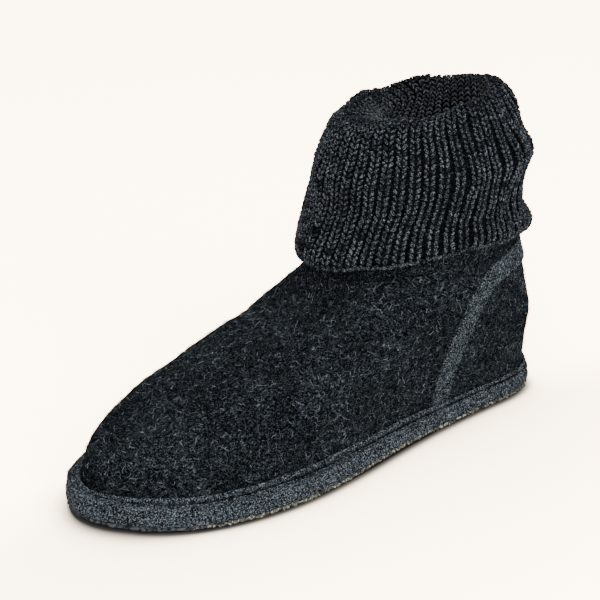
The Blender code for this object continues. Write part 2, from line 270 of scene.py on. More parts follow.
def ripple(points, wavelength, seed, waves=14):
    """Smooth, even lumps about one wavelength across, from -1 to 1 or so."""
    rng = np.random.default_rng(seed)
    heading = rng.normal(size=(waves, 3))
    heading *= rng.uniform(0.6, 1.4, (waves, 1)) / np.linalg.norm(heading, axis=1, keepdims=True)
    phase = rng.uniform(0, 2 * math.pi, waves)
    swing = np.sin(points @ heading.T * (2 * math.pi / wavelength) + phase)
    return swing.sum(-1) / math.sqrt(waves)


def lumps(points, table, height=0.0):
    """Adds lumps of several sizes to a height; each row gives depth and width in millimetres and a seed."""
    for depth, width, seed in table:
        height = height + depth * MM * ripple(points, width * MM, seed)
    return height


def row_normals(rows, closed_rows=False):
    """Outward unit normals of a surface given as rows of closed rings."""
    if closed_rows:
        up_way = np.roll(rows, -1, axis=0) - np.roll(rows, 1, axis=0)
    else:
        up_way = np.gradient(rows, axis=0)
    round_way = np.roll(rows, -1, axis=1) - np.roll(rows, 1, axis=1)
    return unit(np.cross(round_way, up_way))


def push_out(rows, height, part=slice(None), closed_rows=False):
    """Moves part of a surface out along its normals by the height at each point."""
    rows[part] += (row_normals(rows, closed_rows) * height[..., None])[part]


def skin(name, rows, closed_rows=False, closed_rings=True):
    """A mesh object of quads over rows of points."""
    rows = np.asarray(rows)
    count, ring = rows.shape[:2]
    i = np.arange(count if closed_rows else count - 1)[:, None]
    j = np.arange(ring if closed_rings else ring - 1)[None, :]
    above, ahead = (i + 1) % count, (j + 1) % ring
    corners = [i * ring + j, i * ring + ahead, above * ring + ahead, above * ring + j]
    faces = np.stack(corners, -1).reshape(-1, 4)
    mesh = bpy.data.meshes.new(name)
    mesh.from_pydata(rows.reshape(-1, 3).tolist(), [], faces.tolist())
    bm = bmesh.new()
    bm.from_mesh(mesh)
    bmesh.ops.remove_doubles(bm, verts=bm.verts, dist=1e-7)
    bm.to_mesh(mesh)
    bm.free()
    mesh.shade_smooth()
    obj = bpy.data.objects.new(name, mesh)
    bpy.context.scene.collection.objects.link(obj)
    return obj


def give(mesh, name, kind, values):
    """Keeps one value a point on a mesh under a name that finishes and trees can read."""
    key = {"FLOAT": "value", "FLOAT_VECTOR": "vector", "FLOAT_COLOR": "color"}[kind]
    mesh.attributes.new(name, kind, "POINT").data.foreach_set(key, np.ravel(values).astype(np.float32))


def arithmetic(tree, operation, first, second, third=0.0):
    return node(tree, "ShaderNodeMath", {"operation": operation}, _0=first, _1=second, _2=third).outputs[0]


def vector_math(tree, operation, first, second):
    return node(tree, "ShaderNodeVectorMath", {"operation": operation}, _0=first, _1=second).outputs[0]


def spread(tree, value, low, high):
    """Stretches a mask so that low becomes 0 and high 1, with soft ends."""
    soft = {"interpolation_type": "SMOOTHSTEP"}
    return node(tree, "ShaderNodeMapRange", soft, Value=value, From_Min=low, From_Max=high).outputs["Result"]


def grain(tree, place, scale, detail=3.0, roughness=0.6, distortion=0.0):
    look = dict(Scale=scale, Detail=detail, Roughness=roughness, Distortion=distortion)
    return node(tree, "ShaderNodeTexNoise", Vector=place, **look).outputs["Fac"]


def paint(name, roughness):
    """A new material, its tree, its Principled shader and its Object coordinates."""
    material = bpy.data.materials.new(name)
    material.use_nodes = True
    tree = material.node_tree
    shader = tree.nodes["Principled BSDF"]
    shader.inputs["Roughness"].default_value = roughness
    shader.inputs["Specular IOR Level"].default_value = 0.0
    place = tree.nodes.new("ShaderNodeTexCoord").outputs["Object"]
    return material, tree, shader, place


def raise_bumps(tree, shader, height, depth):
    bump = node(tree, "ShaderNodeBump", Height=height, Strength=1.0, Distance=depth)
    tree.links.new(bump.outputs["Normal"], shader.inputs["Normal"])


def crumb_latex():
    material, tree, shader, place = paint("crumb_latex", 0.85)
    crumbs = node(tree, "ShaderNodeTexVoronoi", Vector=place, Scale=620.0)
    pebbles = grain(tree, place, 480.0, 4.0)
    pale = spread(tree, pebbles, 0.38, 0.64)
    colour = blend(tree, pale, LATEX_DARK, LATEX_PALE)
    flecks = spread(tree, grain(tree, place, 900.0, 2.0), 0.54, 0.62)
    colour = blend(tree, flecks, colour, LATEX_FLECK)
    along = node(tree, "ShaderNodeSeparateXYZ", Vector=place).outputs["X"]
    # Towards the toe the latex turns a dark felt grey.
    toe_grey = blend(tree, pale, TOE_LATEX_DARK, TOE_LATEX_PALE)
    colour = blend(tree, spread(tree, along, TOE_GREY_FROM, TOE_GREY_TO), colour, toe_grey)
    tree.links.new(colour, shader.inputs["Base Color"])
    height = arithmetic(tree, "ADD", crumbs.outputs["Distance"], pebbles)
    raise_bumps(tree, shader, height, 0.6 * MM)
    return material


def fit_piece(obj, slot, *nodes, material=None):
    """Puts the finish on a piece, fixes it to the slipper and lets it stand for its solids."""
    if material:
        obj.data.materials.clear()
        obj.data.materials.append(material)
    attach(obj, "root")
    if nodes:
        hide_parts(*nodes)


share = np.arange(SOLE_POINTS) / SOLE_POINTS
# The shade that the sole throws close round itself: how far out it lies, and how deep it is where
# the sole stands on the floor and where the toe is lifted off it.
SHADE_COLUMNS = ("reach", "contact", "toe")
SHADE_ROWS = (
    (-12, 1.00, 0.95),
    (-1.5, 1.00, 0.80),
    (0.3, 0.92, 0.60),
    (1.2, 0.72, 0.49),
    (2.4, 0.42, 0.40),
    (4.0, 0.20, 0.31),
    (6.5, 0.12, 0.20),
    (11, 0.09, 0.13),
    (20, 0.08, 0.09),
    (45, 0.07, 0.07),
    (100, 0.05, 0.05),
    (200, 0.00, 0.00),
)
SHADE_DARKEST = 0.03
SHADE_DROP = 0.15 * MM
# The part of the sole's length where the toe leaves the floor, and how soon it is clear of it.
LIFT_START = 0.86
LIFT_SPAN = 0.10
edge_points, edge_out = sole_edge(share)
edge_along = edge_points[:, 0] / SOLE_LENGTH + 0.5
to_camera = unit(np.array(looking_back)[:2])
facing = np.clip(0.2 + 0.8 * edge_out @ to_camera, 0, 1)
lifted = np.clip((edge_along - LIFT_START) / LIFT_SPAN, 0, 1)
shade_points, shade_seen = [], []
for row in SHADE_ROWS:
    shade = dict(zip(SHADE_COLUMNS, row))
    outward = unit(edge_out + edge_points * max(shade["reach"] - 10, 0))
    ring = np.column_stack([edge_points + outward * shade["reach"] * MM, np.full(len(share), -SHADE_DROP)])
    depth = shade["contact"] + (shade["toe"] - shade["contact"]) * lifted
    depth = depth * (1 if shade["reach"] < 0 else facing)
    seen = np.array(FLOOR_SEEN[:3]) ** (1 - depth[:, None]) * SHADE_DARKEST ** depth[:, None]
    shade_points.append(ring)
    shade_seen.append(np.column_stack([seen, np.ones(len(seen))]))
floor_shade = skin("floor_shade", np.array(shade_points)[::-1])
floor_shade.data.materials.append(floor_paint)
give(floor_shade.data, "seen", "FLOAT_COLOR", np.array(shade_seen)[::-1])

outsole_rows = np.array(
    [sole_ring(share, inset * MM, height * MM, squeeze) for inset, height, squeeze in OUTSOLE_SECTION]
)
edge_grit = ripple(outsole_rows, 3.1 * MM, 11) + 0.8 * ripple(outsole_rows, 1.7 * MM, 12)
push_out(outsole_rows, edge_grit * OUTSOLE_GRIT, OUTSOLE_EDGE)
outsole = skin("outsole_latex", outsole_rows)
fit_piece(outsole, "latex", "outsole", material=crumb_latex())


# Midsole
# Thick wool felt, cut to the same outline. Its side is rolled over and brushed, so it bulges a little
# between the latex and the welt, and its grey is a mix of dark, blue-grey and pale fibres.
MIDSOLE_BASE = OUTSOLE_THICKNESS + SEAM
MIDSOLE_THICKNESS = 5.0 * MM
TOE_CURL = 1.5 * MM
TOE_CURL_START = 0.9
TOE_CURL_SPAN = 0.1
# The colours of the fibres, how fine their clouds, clumps and hairs are, how many hairs and specks show,
# and how far the fibres stand up.
FELT = dict(
    dark=(0.0020, 0.0034, 0.0058, 1), middle=(0.034, 0.044, 0.056, 1), pale=(0.29, 0.33, 0.365, 1),
    cloud=60, clump=430, hair=260, amount=0.5, specks=0.6, depth=1.2 * MM,
)
FELT_LUMPS = ((0.18, 9, 21), (0.10, 3, 22))
# The felt's section: inset and height in millimetres, the width kept, and the share of the toe's curl.
MIDSOLE_SECTION = (
    (8.0, 0.0, 0.0, 0.0), (8.0, 0.0, 0.6, 0.0), (4.0, 0.0, 1.0, 0.0), (0.7, 0.0, 1.0, 0.0),
    (0.3, 0.3, 1.0, 0.0), (0.08, 0.9, 1.0, 0.1), (0.0, 1.8, 1.0, 0.3), (0.05, 2.8, 1.0, 0.5),
    (0.2, 3.7, 1.0, 0.7), (0.45, 4.5, 1.0, 0.9), (0.8, 5.2, 1.0, 1.0), (4.0, 5.2, 1.0, 0.3),
    (8.0, 5.2, 0.6, 0.0), (8.0, 5.2, 0.0, 0.0),
)
MIDSOLE_SIDE = slice(4, 10)


def wool_group():
    """Mixed wool fibres: a cloudy ground, matted clumps and pale single hairs that run all ways."""
    group = bpy.data.node_groups.new("mixed_wool", "ShaderNodeTree")
    sockets = {
        "NodeSocketVector": ("Place",),
        "NodeSocketColor": ("Dark", "Middle", "Pale"),
        "NodeSocketFloat": ("Cloud Scale", "Clump Scale", "Hair Scale", "Hair Amount", "Speck Amount"),
    }
    for kind, names in sockets.items():
        for name in names:
            group.interface.new_socket(name, in_out="INPUT", socket_type=kind)
    group.interface.new_socket("Colour", in_out="OUTPUT", socket_type="NodeSocketColor")
    group.interface.new_socket("Height", in_out="OUTPUT", socket_type="NodeSocketFloat")
    given = group.nodes.new("NodeGroupInput").outputs
    result = group.nodes.new("NodeGroupOutput").inputs
    cloud = spread(group, grain(group, given["Place"], given["Cloud Scale"], 4.0, 0.65), 0.38, 0.64)
    clump = grain(group, given["Place"], given["Clump Scale"], 3.0, 0.6, 0.6)
    matted = spread(group, clump, 0.43, 0.64)
    speck_scale = arithmetic(group, "MULTIPLY", given["Clump Scale"], 3.6)
    specks = grain(group, given["Place"], speck_scale, 2.0)
    bend = node(group, "ShaderNodeTexNoise", Vector=given["Place"], Scale=230.0)
    sway = vector_math(group, "MULTIPLY", bend.outputs["Color"], (0.007, 0.007, 0.007))
    swayed = vector_math(group, "ADD", given["Place"], sway)
    hairs = None
    for turn in ((0.4, 0.2, 0.3), (1.2, 0.5, 2.0), (0.3, 1.4, 4.1), (2.2, 0.9, 1.1)):
        mapped = node(group, "ShaderNodeMapping", Vector=swayed, Rotation=turn, Scale=(1, 8, 8))
        strand = spread(group, grain(group, mapped.outputs[0], given["Hair Scale"], 2.0, 0.5), 0.625, 0.66)
        hairs = strand if hairs is None else arithmetic(group, "MAXIMUM", hairs, strand)
    ground = blend(group, matted, given["Dark"], given["Middle"])
    lift = arithmetic(group, "MULTIPLY", cloud, 0.25)
    ground = blend(group, lift, ground, given["Middle"])
    shown = arithmetic(group, "MULTIPLY", spread(group, specks, 0.53, 0.62), given["Speck Amount"])
    ground = blend(group, shown, ground, given["Pale"])
    dark_specks = spread(group, specks, 0.49, 0.42)
    ground = blend(group, arithmetic(group, "MULTIPLY", dark_specks, 0.9), ground, given["Dark"])
    shown = arithmetic(group, "MULTIPLY", hairs, given["Hair Amount"])
    faded = arithmetic(group, "MULTIPLY_ADD", cloud, 0.65, 0.35)
    tufted = arithmetic(group, "MULTIPLY_ADD", matted, 0.75, 0.25)
    shown = arithmetic(group, "MULTIPLY", arithmetic(group, "MULTIPLY", shown, faded), tufted)
    group.links.new(blend(group, shown, ground, given["Pale"]), result["Colour"])
    height = arithmetic(group, "ADD", clump, arithmetic(group, "MULTIPLY", hairs, 0.3))
    height = arithmetic(group, "ADD", height, arithmetic(group, "MULTIPLY", specks, 0.4))
    group.links.new(height, result["Height"])
    return group


mixed_wool = wool_group()


def wool(name, dark, middle, pale, cloud, clump, hair, amount, specks, depth):
    """A matt wool finish with its own fibre colours and scales, and painted shade in the piece's creases."""
    material, tree, shader, place = paint(name, 0.95)
    fibres = tree.nodes.new("ShaderNodeGroup")
    fibres.node_tree = mixed_wool
    tree.links.new(place, fibres.inputs["Place"])
    values = (dark, middle, pale, cloud, clump, hair, amount, specks)
    for socket, value in zip(list(fibres.inputs)[1:], values):
        socket.default_value = value
    # Painted shade: where a piece marks its creases, the colour falls towards a darker copy of its dark
    # fibres.
    crease_shade_colour = (*(0.4 * part for part in dark[:3]), 1)
    crease_shaded = blend(tree, attribute(tree, "crease_shade")["Fac"], fibres.outputs["Colour"], crease_shade_colour)
    tree.links.new(crease_shaded, shader.inputs["Base Color"])
    raise_bumps(tree, shader, fibres.outputs["Height"], depth)
    return material


toe_share = np.clip((edge_along - TOE_CURL_START) / TOE_CURL_SPAN, 0, 1)
midsole_rows = np.array(
    [
        sole_ring(share, inset * MM, MIDSOLE_BASE + height * MM + lift * TOE_CURL * toe_share, squeeze)
        for inset, height, squeeze, lift in MIDSOLE_SECTION
    ]
)
push_out(midsole_rows, lumps(midsole_rows, FELT_LUMPS), MIDSOLE_SIDE)
midsole = skin("midsole_felt", midsole_rows)
fit_piece(midsole, "sole_felt", "midsole", material=wool("sole_felt", **FELT))


# Welt
# A felt rand laid round the foot of the upper: a rolled bead against the wool, a sewn groove, and a
# flange that runs out to the sole's edge. It is widest at the toe, where it turns up a little.
WELT_BASE = MIDSOLE_BASE + MIDSOLE_THICKNESS + SEAM
STITCH_LENGTH = 5.2 * MM
WIDE_FLANGE = 5.1 * MM
NARROW_FLANGE = 3.5 * MM
# The section is the wide one above this width, and the narrow one once it is less by the span.
NARROW_FROM = 7.5 * MM
NARROW_SPAN = 4 * MM
# How far the bead is pressed flat at the toe and the grooves are sewn in, in millimetres.
TOE_BEAD_DROP = 1.4
GROOVE_PULL = 0.55
SECOND_GROOVE_PULL = 0.75
RAND_LUMPS = ((0.22, 12, 31), (0.13, 3.2, 32))
# How much painted shade darkens the sewn groove, how much more it darkens where a stitch pulls it in, how
# much it darkens the second groove, and the most it may darken a groove. The reaches are in corners of the
# section.
GROOVE_DARK, PULL_DARK, SECOND_DARK, DARKEST_GROOVE = 0.82, 0.18, 0.7, 0.96
BEAD_SIDE_REACH, FLANGE_SIDE_REACH, SECOND_REACH = 0.48, 0.55, 0.40
POINTS_PER_CORNER = 5
# Corners of the rand's section in millimetres, where the flange is wide, as at the toe, and where it
# is narrow, as at the heel: how far out from the wool, how much of any further width is added to
# that, and how high. The last column is the share of the toe's curl.
WELT_COLUMNS = (
    "wide_out", "wide_more", "wide_height", "narrow_out", "narrow_more", "narrow_height", "curl",
)
WELT_SECTION = {
    "foot": (0.4, 0, 0.0, 0.4, 0, 0.0, 0),
    "bead_back": (0.4, 0, 3.9, 0.4, 0, 3.9, 0.3),
    "bead_top": (1.4, 0, 5.2, 1.2, 0.1, 5.3, 0.3),
    "bead_side": (2.6, 0, 4.4, 2.2, 0.2, 4.4, 0.35),
    "groove": (3.1, 0, 2.5, 1.6, 0.4, 3.3, 0.4),
    "ridge": (4.5, 0, 2.9, 2.6, 0.5, 2.7, 0.45),
    "second_groove": (5.5, 0.03, 2.8, 2.85, 0.6, 2.2, 0.5),
    "crown": (5.4, 0.3, 2.9, 3.1, 0.8, 1.7, 0.6),
    "slope": (5.1, 0.68, 2.4, 3.3, 0.9, 1.15, 0.85),
    "edge_top": (4.2, 1, 1.45, 3.4, 1, 0.6, 1),
    "edge": (4.65, 1, 0.35, 3.3, 1, 0.1, 1),
    "edge_under": (4.2, 1, -0.2, 2.8, 1, -0.2, 0.9),
    "under": (2.6, 1, -0.1, 1.5, 1, -0.1, 0.3),
}


def smooth_between(p0, p1, p2, p3, t):
    """A cubic from p1 to p2 that follows the line of the points before and after them."""
    return 0.5 * (
        2 * p1 + (p2 - p0) * t + (2 * p0 - 5 * p1 + 4 * p2 - p3) * t**2 + (3 * p1 - p0 - 3 * p2 + p3) * t**3
    )


def loop_through(points, count):
    """Points evenly spread on a smooth closed loop through a few corners, each given over a ring."""
    corners = len(points)
    at = np.arange(count) * corners / count
    i = np.floor(at).astype(int)
    t = (at - i)[:, None, None]
    return smooth_between(*(points[(i + k) % corners] for k in (-1, 0, 1, 2)), t)


flange = curves["flange"](share)
run = np.cumsum(np.linalg.norm(edge_points - np.roll(edge_points, 1, axis=0), axis=1))
pull = np.abs(np.sin(math.pi * run / STITCH_LENGTH)) ** 0.6
wander = ripple(np.column_stack([edge_points, np.zeros(len(edge_points))]), 40 * MM, 33)
second_groove_strength = np.clip(0.55 + 0.45 * wander, 0.1, 1)
narrow = np.clip((NARROW_FROM - flange) / NARROW_SPAN, 0, 1)
narrow = narrow * narrow * (3 - 2 * narrow)
flat_toe = TOE_BEAD_DROP * toe_share
sewn_in = {
    "bead_back": flat_toe,
    "bead_top": flat_toe,
    "bead_side": flat_toe,
    "groove": GROOVE_PULL * pull,
    "second_groove": SECOND_GROOVE_PULL * second_groove_strength * (1 - narrow),
}
welt_corners = []
for name, row in WELT_SECTION.items():
    corner = dict(zip(WELT_COLUMNS, row))
    wide_out = corner["wide_out"] * MM + corner["wide_more"] * (flange - WIDE_FLANGE)
    narrow_out = corner["narrow_out"] * MM + corner["narrow_more"] * (flange - NARROW_FLANGE)
    out = wide_out + (narrow_out - wide_out) * narrow
    height = corner["wide_height"] + (corner["narrow_height"] - corner["wide_height"]) * narrow
    height = (height - sewn_in.get(name, 0)) * MM + corner["curl"] * TOE_CURL * toe_share
    welt_corners.append(sole_ring(share, flange - out, WELT_BASE + height))
welt_corners = np.array(welt_corners)
welt_rows = loop_through(welt_corners, POINTS_PER_CORNER * len(welt_corners))
push_out(welt_rows, lumps(welt_rows, RAND_LUMPS), closed_rows=True)
welt = skin("welt_felt", welt_rows[::-1], closed_rows=True)
# Painted shade in the rand's grooves: darkest along the sewn groove, more where a stitch pulls it in, fainter
# along the second groove.
place_in_loop = np.arange(len(welt_rows))[:, None] / POINTS_PER_CORNER
past_groove = place_in_loop - list(WELT_SECTION).index("groove")
past_second = place_in_loop - list(WELT_SECTION).index("second_groove")
groove_side = np.where(past_groove < 0, BEAD_SIDE_REACH, FLANGE_SIDE_REACH)
stitched = GROOVE_DARK + PULL_DARK * pull[None, :]
welt_crease_shade = stitched * np.exp(-((past_groove / groove_side) ** 2))
welt_crease_shade = welt_crease_shade + SECOND_DARK * second_groove_strength[None, :] * np.exp(-((past_second / SECOND_REACH) ** 2))
welt_crease_shade = np.clip(welt_crease_shade, 0, DARKEST_GROOVE)
give(welt.data, "crease_shade", "FLOAT", welt_crease_shade[::-1])
fit_piece(welt, "rand_felt", "welt", material=wool("rand_felt", **FELT))


# Insole
# A felt sheet inside the slipper. Only its middle shows, down through the collar, so the solid stays
# and gets the finish of brushed grey felt.
INSOLE_FELT = dict(
    dark=(0.008, 0.010, 0.012, 1), middle=(0.034, 0.037, 0.041, 1), pale=(0.12, 0.125, 0.13, 1),
    cloud=45, clump=420, hair=240, amount=0.4, specks=0.4, depth=0.7 * MM,
)
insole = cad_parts["insole"]
insole.data.materials.clear()
insole.data.materials.append(wool("insole_felt", **INSOLE_FELT))


# Upper
# One shell of boiled wool, felted in one piece over a last: thick, matt and softly lumpy, dark
# charcoal blue with paler fibres. It is sewn to the welt at its foot and to the cuff at its collar.
WALL = 3.2 * MM
COLLAR_CENTRE_X = -68 * MM
COLLAR_HALF_LENGTH = 54 * MM
COLLAR_HALF_WIDTH = 39 * MM
COLLAR_FRONT_HEIGHT = 104 * MM
COLLAR_BACK_HEIGHT = 108 * MM
BOILED_WOOL = dict(
    dark=(0.0003, 0.0007, 0.0014, 1), middle=(0.0022, 0.0037, 0.0058, 1), pale=(0.165, 0.195, 0.225, 1),
    cloud=34, clump=360, hair=260, amount=1.0, specks=0.20, depth=1.5 * MM,
)
WOOL_LUMPS = ((0.45, 26, 41), (0.16, 6, 42), (0.07, 2.6, 43))
WALL_POINTS = 320
WALL_ROWS = 110
# Rows lie closer together near the foot. Folds and lumps begin at the smooth level and are full at twice it.
ROW_POWER = 1.3
SMOOTH_LEVEL = 0.06
# Soft folds and dents: where they lie (share round the foot, level up the wall), how far they reach
# each way and how deep they are in millimetres, with dents below zero.
FOLD_COLUMNS = ("share", "level", "share_reach", "level_reach", "depth")
FOLDS = {
    "ankle_front_crease": (0.600, 0.80, 0.060, 0.035, -1.0),
    "ankle_front_roll": (0.600, 0.70, 0.070, 0.050, 0.8),
    "outer_ankle_hollow": (0.800, 0.72, 0.060, 0.110, -1.6),
    "inner_ankle_hollow": (0.215, 0.72, 0.060, 0.110, -1.6),
    "outer_instep_swell": (0.690, 0.45, 0.050, 0.160, 1.0),
    "outer_ball_dent": (0.655, 0.22, 0.030, 0.090, -0.8),
    "inner_instep_swell": (0.330, 0.45, 0.050, 0.160, 1.0),
    "toe_dent": (0.520, 0.18, 0.030, 0.060, -0.7),
    "heel_swell": (0.000, 0.35, 0.060, 0.150, 0.6),
}


def collar_ring(share):
    turn = np.radians(360 * share + 180 + curves["turn_lead"](share))
    x = COLLAR_CENTRE_X + COLLAR_HALF_LENGTH * np.cos(turn)
    y = COLLAR_HALF_WIDTH * np.sin(turn)
    forward = (1 + np.cos(turn)) / 2
    z = COLLAR_BACK_HEIGHT + (COLLAR_FRONT_HEIGHT - COLLAR_BACK_HEIGHT) * forward
    return np.column_stack([x, y, z])


def upper_face(share, level):
    """The upper's outer face, from the feather line (level 0) to the collar (level 1)."""
    share, level = np.broadcast_arrays(np.asarray(share, float), np.asarray(level, float))
    foot = sole_ring(share, curves["flange"](share), WELT_BASE)
    _, out = sole_edge(share)
    up = np.array([0.0, 0.0, 1.0])
    swell = np.column_stack([out, np.zeros(len(out))]) * curves["swell"](share)[:, None]
    t = level[:, None]
    return (
        foot * (2 * t**3 - 3 * t**2 + 1)
        + curves["rise"](share)[:, None] * up * (t**3 - 2 * t**2 + t)
        + collar_ring(share) * (3 * t**2 - 2 * t**3)
        + curves["shaft"](share)[:, None] * up * (t**3 - t**2)
        + swell * 16 * t**2 * (1 - t) ** 2
    )


def fold_height(share, level):
    """How far the soft folds move the wall in or out."""
    height = np.zeros(np.broadcast(share, level).shape)
    for row in FOLDS.values():
        fold = dict(zip(FOLD_COLUMNS, row))
        off = np.abs((share - fold["share"] + 0.5) % 1 - 0.5) / fold["share_reach"]
        rise = (level - fold["level"]) / fold["level_reach"]
        height = height + fold["depth"] * MM * np.exp(-(off**2) - rise**2)
    return height


wall_share = np.arange(WALL_POINTS) / WALL_POINTS
wall_levels = np.linspace(0, 1, WALL_ROWS) ** ROW_POWER
outer_rows = np.array([upper_face(wall_share, level) for level in wall_levels])
outer_normals = row_normals(outer_rows)
fade = np.clip((wall_levels - SMOOTH_LEVEL) / SMOOTH_LEVEL, 0, 1)[:, None]
felted = lumps(outer_rows, WOOL_LUMPS, fold_height(wall_share[None, :], wall_levels[:, None]))
outer_skin = outer_rows + outer_normals * (felted * fade)[..., None]
inner_skin = (outer_rows - outer_normals * WALL)[::-4]
inner_skin[0, :, 2] = outer_rows[-1, :, 2]
inner_skin[-1, :, 2] = outer_rows[0, :, 2]
upper = skin("upper_wool", np.concatenate([outer_skin, inner_skin]), closed_rows=True)
fit_piece(upper, "boiled_wool", "upper", material=wool("boiled_wool", **BOILED_WOOL))


# Wool fibres
# Loose hairs that stand off the felted wool: short, curled and lying all ways. Most are about as dark
# as the ground, and a few are pale.
FIBRE_LENGTH = 3.6 * MM
FIBRE_RADIUS = 0.075 * MM
FIBRE_WAVE = 4.0 * MM
FIBRE_LEAN = 0.4
# Hairs to a square metre, the shortest and longest as shares of the length, and how rare pale ones are.
FIBRE_DENSITY = 170000.0
FIBRE_SHORTEST = 0.4
FIBRE_LONGEST = 1.5
PALE_RARITY = 3.0
WOOL_HAIR_DARK = (0.0010, 0.0017, 0.0028, 1)
WOOL_HAIR_PALE = (0.29, 0.335, 0.38, 1)
# Rows of the upper's wall that each piece of hair grows on.
FIBRE_ROWS = {"wool_fibres_low": slice(11, 52), "wool_fibres_high": slice(51, 104)}


def open_tree(name, kind, **sizes):
    """A geometry tree with a mesh and some sizes to be given to it, and the sockets that bring them in."""
    tree = bpy.data.node_groups.new(name, "GeometryNodeTree")
    tree.interface.new_socket("Geometry", in_out="INPUT", socket_type="NodeSocketGeometry")
    for label, value in sizes.items():
        tree.interface.new_socket(label, in_out="INPUT", socket_type=kind).default_value = value
    tree.interface.new_socket("Geometry", in_out="OUTPUT", socket_type="NodeSocketGeometry")
    return tree, tree.nodes.new("NodeGroupInput").outputs


def close_tree(tree, geometry, material):
    """Ends a geometry tree: what it made becomes plain mesh and takes the finish."""
    whole = node(tree, "GeometryNodeRealizeInstances", Geometry=geometry)
    finished = node(tree, "GeometryNodeSetMaterial", Geometry=whole.outputs[0], Material=material)
    node(tree, "NodeGroupOutput", Geometry=finished.outputs[0])
    return tree


def fibre_tree(name, material):
    """Scatters short bent hairs over a surface; each keeps a tone of its own."""
    tree, given = open_tree(
        name, "NodeSocketFloat",
        Density=FIBRE_DENSITY, Length=FIBRE_LENGTH, Radius=FIBRE_RADIUS, Wave=FIBRE_WAVE, Lean=FIBRE_LEAN,
    )
    scattered = dict(Mesh=given["Geometry"], Density=given["Density"], Seed=7)
    roots = node(tree, "GeometryNodeDistributePointsOnFaces", **scattered)
    line = node(tree, "GeometryNodeCurvePrimitiveLine", Start=(-0.5, 0, 0), End=(0.5, 0, 0))
    strand = node(tree, "GeometryNodeResampleCurve", Curve=line.outputs[0], Count=5)
    any_way = dict(_0=(-1, -1, 0), _1=(1, 1, 6.283), Seed=8)
    spin = node(tree, "FunctionNodeRandomValue", {"data_type": "FLOAT_VECTOR"}, **any_way)
    leaning = node(tree, "ShaderNodeCombineXYZ", X=given["Lean"], Y=given["Lean"], Z=1.0)
    heading = vector_math(tree, "MULTIPLY", spin.outputs[0], leaning.outputs[0])
    own_turn = node(tree, "FunctionNodeEulerToRotation", _0=heading)
    both = dict(_0=roots.outputs["Rotation"], _1=own_turn.outputs[0])
    turned = node(tree, "FunctionNodeRotateRotation", {"rotation_space": "LOCAL"}, **both)
    length = node(tree, "FunctionNodeRandomValue", _2=FIBRE_SHORTEST, _3=FIBRE_LONGEST, Seed=9)
    scale = arithmetic(tree, "MULTIPLY", length.outputs[1], given["Length"])
    placed = node(
        tree, "GeometryNodeInstanceOnPoints",
        Points=roots.outputs[0], Instance=strand.outputs[0], Rotation=turned.outputs[0], Scale=scale,
    )
    tone = node(tree, "FunctionNodeRandomValue", Seed=10)
    own_tone = dict(Geometry=placed.outputs[0], Name="tone", Value=tone.outputs[1])
    kept = node(tree, "GeometryNodeStoreNamedAttribute", {"domain": "INSTANCE"}, **own_tone)
    loose = node(tree, "GeometryNodeRealizeInstances", Geometry=kept.outputs[0])
    place = tree.nodes.new("GeometryNodeInputPosition").outputs[0]
    swirl = node(tree, "ShaderNodeTexNoise", Vector=place, Scale=480.0, Detail=1.0)
    bend = vector_math(tree, "SUBTRACT", swirl.outputs["Color"], (0.5, 0.5, 0.5))
    swing = node(tree, "ShaderNodeVectorMath", {"operation": "SCALE"}, _0=bend, Scale=given["Wave"])
    bent = node(tree, "GeometryNodeSetPosition", Geometry=loose.outputs[0], Offset=swing.outputs[0])
    ring = node(tree, "GeometryNodeCurvePrimitiveCircle", Resolution=3, Radius=given["Radius"])
    tube = dict(Curve=bent.outputs[0], Profile_Curve=ring.outputs[0], Fill_Caps=True)
    hair = node(tree, "GeometryNodeCurveToMesh", **tube)
    return close_tree(tree, hair.outputs[0], material)


def grown(name, base, tree, **sizes):
    """Runs a geometry tree on a base object and keeps the result as a plain mesh piece."""
    carrier = bpy.data.objects.new(name + "_base", base)
    bpy.context.scene.collection.objects.link(carrier)
    modifier = carrier.modifiers.new("grow", "NODES")
    modifier.node_group = tree
    for item in tree.interface.items_tree:
        if item.item_type == "SOCKET" and item.in_out == "INPUT" and item.name in sizes:
            modifier[item.identifier] = sizes[item.name]
    graph = bpy.context.evaluated_depsgraph_get()
    mesh = bpy.data.meshes.new_from_object(carrier.evaluated_get(graph), depsgraph=graph)
    mesh.name = name
    carrier.modifiers.remove(modifier)
    bpy.data.objects.remove(carrier)
    obj = bpy.data.objects.new(name, mesh)
    bpy.context.scene.collection.objects.link(obj)
    return obj


def hair_finish(name, dark, pale):
    material, tree, shader, _ = paint(name, 0.9)
    rare = arithmetic(tree, "POWER", attribute(tree, "tone")["Fac"], PALE_RARITY)
    tree.links.new(blend(tree, rare, dark, pale), shader.inputs["Base Color"])
    return material


def bare(rows, closed_rings=True):
    """The mesh that hairs grow from, without an object of its own."""
    base = skin("bare", rows, closed_rings=closed_rings)
    mesh = base.data
    bpy.data.objects.remove(base)
    return mesh


wool_tree = fibre_tree("wool_fibre_tree", hair_finish("wool_hair", WOOL_HAIR_DARK, WOOL_HAIR_PALE))
for name, rows in FIBRE_ROWS.items():
    fit_piece(grown(name, bare(outer_skin[rows]), wool_tree, Density=FIBRE_DENSITY), "boiled_wool")


# Heel tape
# A strip of the lighter felt, laid over the counter seam from the outer waist up over the heel and
# down to the inner waist. Its edges are pressed and stand a little proud.
TAPE_WIDTH = 13 * MM
TAPE_THICKNESS = 0.9 * MM
TAPE_GAP = 0.4 * MM
TAPE_LOW = 0.06
TAPE_TOP = 0.67
TAPE_REACH = 0.152
TAPE_SIDE_POWER = 0.28
TAPE_ARCH_POWER = 0.5
TAPE_BACKING = 0.8 * MM
TAPE_LINES = 15
TAPE_POINTS = 161
WALL_STEP = 1e-4
